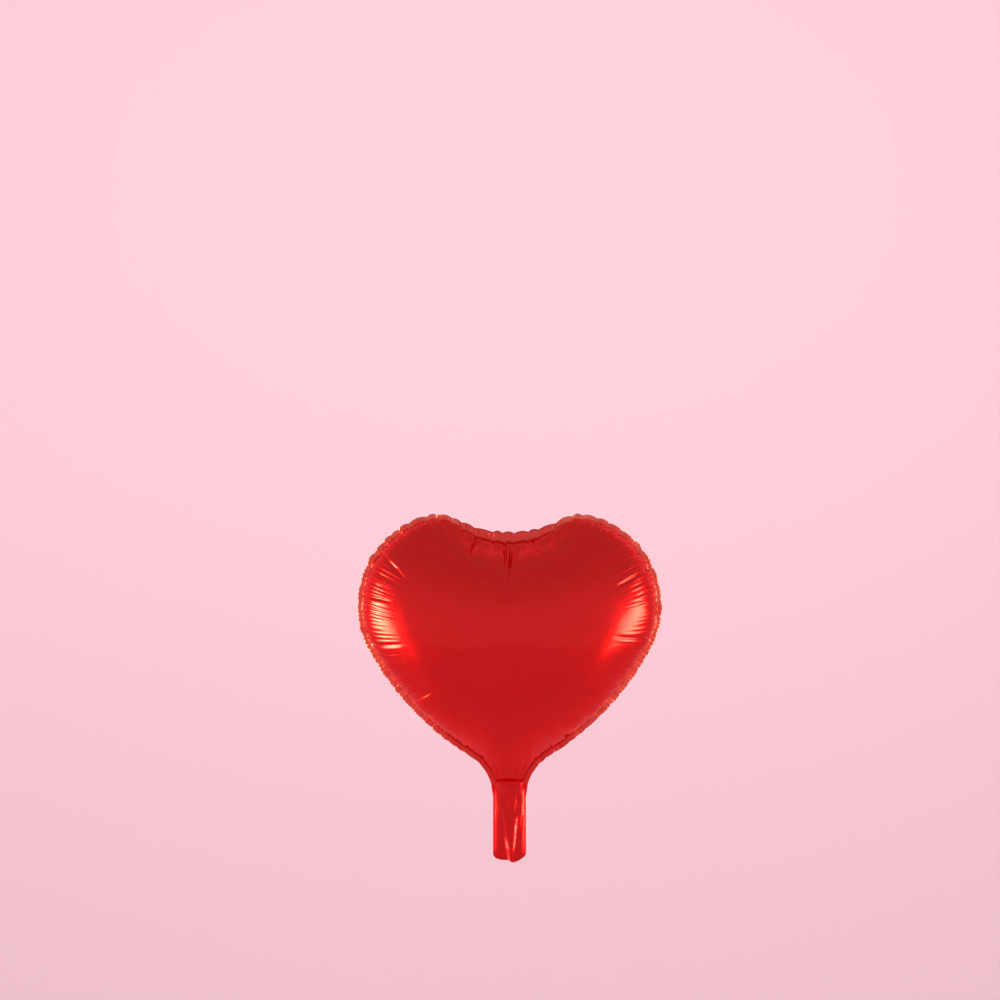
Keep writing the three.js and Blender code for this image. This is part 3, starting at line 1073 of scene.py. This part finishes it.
def make_backdrop(floor_z, material):
    """A wide floor whose far edge is drawn up into a wall, with a rounded bend between them."""
    front, back, side, tall, bend = BACKDROP
    bpy.ops.mesh.primitive_plane_add(size=1, location=(0, 0, 0))
    made = bpy.context.object
    made.name = made.data.name = "floor_and_backdrop"
    for point in made.data.vertices:
        x, y, _ = point.co
        point.co = (2 * x * side, back if y > 0 else front, floor_z)
    bpy.ops.object.mode_set(mode="EDIT")
    shape = bmesh.from_edit_mesh(made.data)
    for edge in shape.edges:
        edge.select_set(all(point.co.y > 0 for point in edge.verts))
    shape.select_flush_mode()
    bmesh.update_edit_mesh(made.data)
    bpy.ops.mesh.extrude_region_move(TRANSFORM_OT_translate={"value": (0, 0, tall)})
    for edge in shape.edges:
        edge.select_set(all(point.co.y > 0 and point.co.z < floor_z + MM for point in edge.verts))
    shape.select_flush_mode()
    bmesh.update_edit_mesh(made.data)
    bpy.ops.mesh.bevel(offset=bend, segments=BEND_SEGMENTS)
    bpy.ops.object.mode_set(mode="OBJECT")
    made.data.shade_smooth()
    made.data.materials.append(material)
    return made


class BALLOON_OT_stage(Operator):
    """Set up the pale floor and backdrop, the soft lights and the camera"""

    bl_idname = "balloon.stage"
    bl_label = "Stage"

    def execute(self, context):
        settings = context.scene.balloon
        scene = context.scene
        floor_z = CAD_BOX[0].z - FLOOR_BELOW
        make_backdrop(floor_z, paper_material(settings))
        centre = Vector(LIT_POINT)
        for name, place, wide, high, power, colour in SIDE_LAMPS:
            light = bpy.data.lights.new(name, "AREA")
            light.shape = "RECTANGLE"
            light.spread = SIDE_SPREAD
            light.energy, light.size, light.size_y, light.color = power, wide, high, colour
            lamp = bpy.data.objects.new(name, light)
            lamp.location = place
            lamp.rotation_euler = (centre - lamp.location).to_track_quat("-Z", "Z").to_euler()
            lamp.visible_camera = False
            scene.collection.objects.link(lamp)
        wash = bpy.data.lights.new("backdrop_wash", "AREA")
        wash.shape = "RECTANGLE"
        wash.size, wash.size_y, wash.energy, wash.color = WASH
        lamp = bpy.data.objects.new("backdrop_wash", wash)
        lamp.location = WASH_PLACE
        aim = Vector(WASH_AIM) - lamp.location
        lamp.rotation_euler = aim.to_track_quat("-Z", "Z").to_euler()
        lamp.visible_camera = False
        lamp.visible_glossy = False
        scene.collection.objects.link(lamp)
        scene.world = studio_world()
        scene.view_settings.view_transform = "Standard"
        camera = bpy.data.objects.new("camera", bpy.data.cameras.new("camera"))
        camera.data.lens = CAMERA_LENS
        camera.location = CAMERA_PLACE
        camera.rotation_euler = (math.radians(90), 0, 0)
        camera.data.clip_end = 50
        scene.collection.objects.link(camera)
        scene.camera = camera
        return {"FINISHED"}


class BALLOON_PT_tools(Panel):
    """Sizes, colours and the makers of each group of pieces"""

    bl_label = "Heart foil balloon"
    bl_idname = "BALLOON_PT_tools"
    bl_space_type = "VIEW_3D"
    bl_region_type = "UI"
    bl_category = "Balloon"

    def draw(self, context):
        settings = context.scene.balloon
        for name in BALLOON_PG_settings.__annotations__:
            self.layout.prop(settings, name)
        for maker in (BALLOON_OT_foil_films, BALLOON_OT_valve_films, BALLOON_OT_stage):
            self.layout.operator(maker.bl_idname)


CLASSES = (BALLOON_PG_settings, BALLOON_OT_foil_films, BALLOON_OT_valve_films, BALLOON_OT_stage,
           BALLOON_PT_tools)


def register():
    for kind in CLASSES:
        bpy.utils.register_class(kind)
    bpy.types.Scene.balloon = PointerProperty(type=BALLOON_PG_settings)


def unregister():
    del bpy.types.Scene.balloon
    for kind in reversed(CLASSES):
        bpy.utils.unregister_class(kind)


def main():
    register()
    bpy.ops.balloon.foil_films()
    bpy.ops.balloon.valve_films()
    bpy.ops.balloon.stage()


if __name__ == "__main__":
    main()
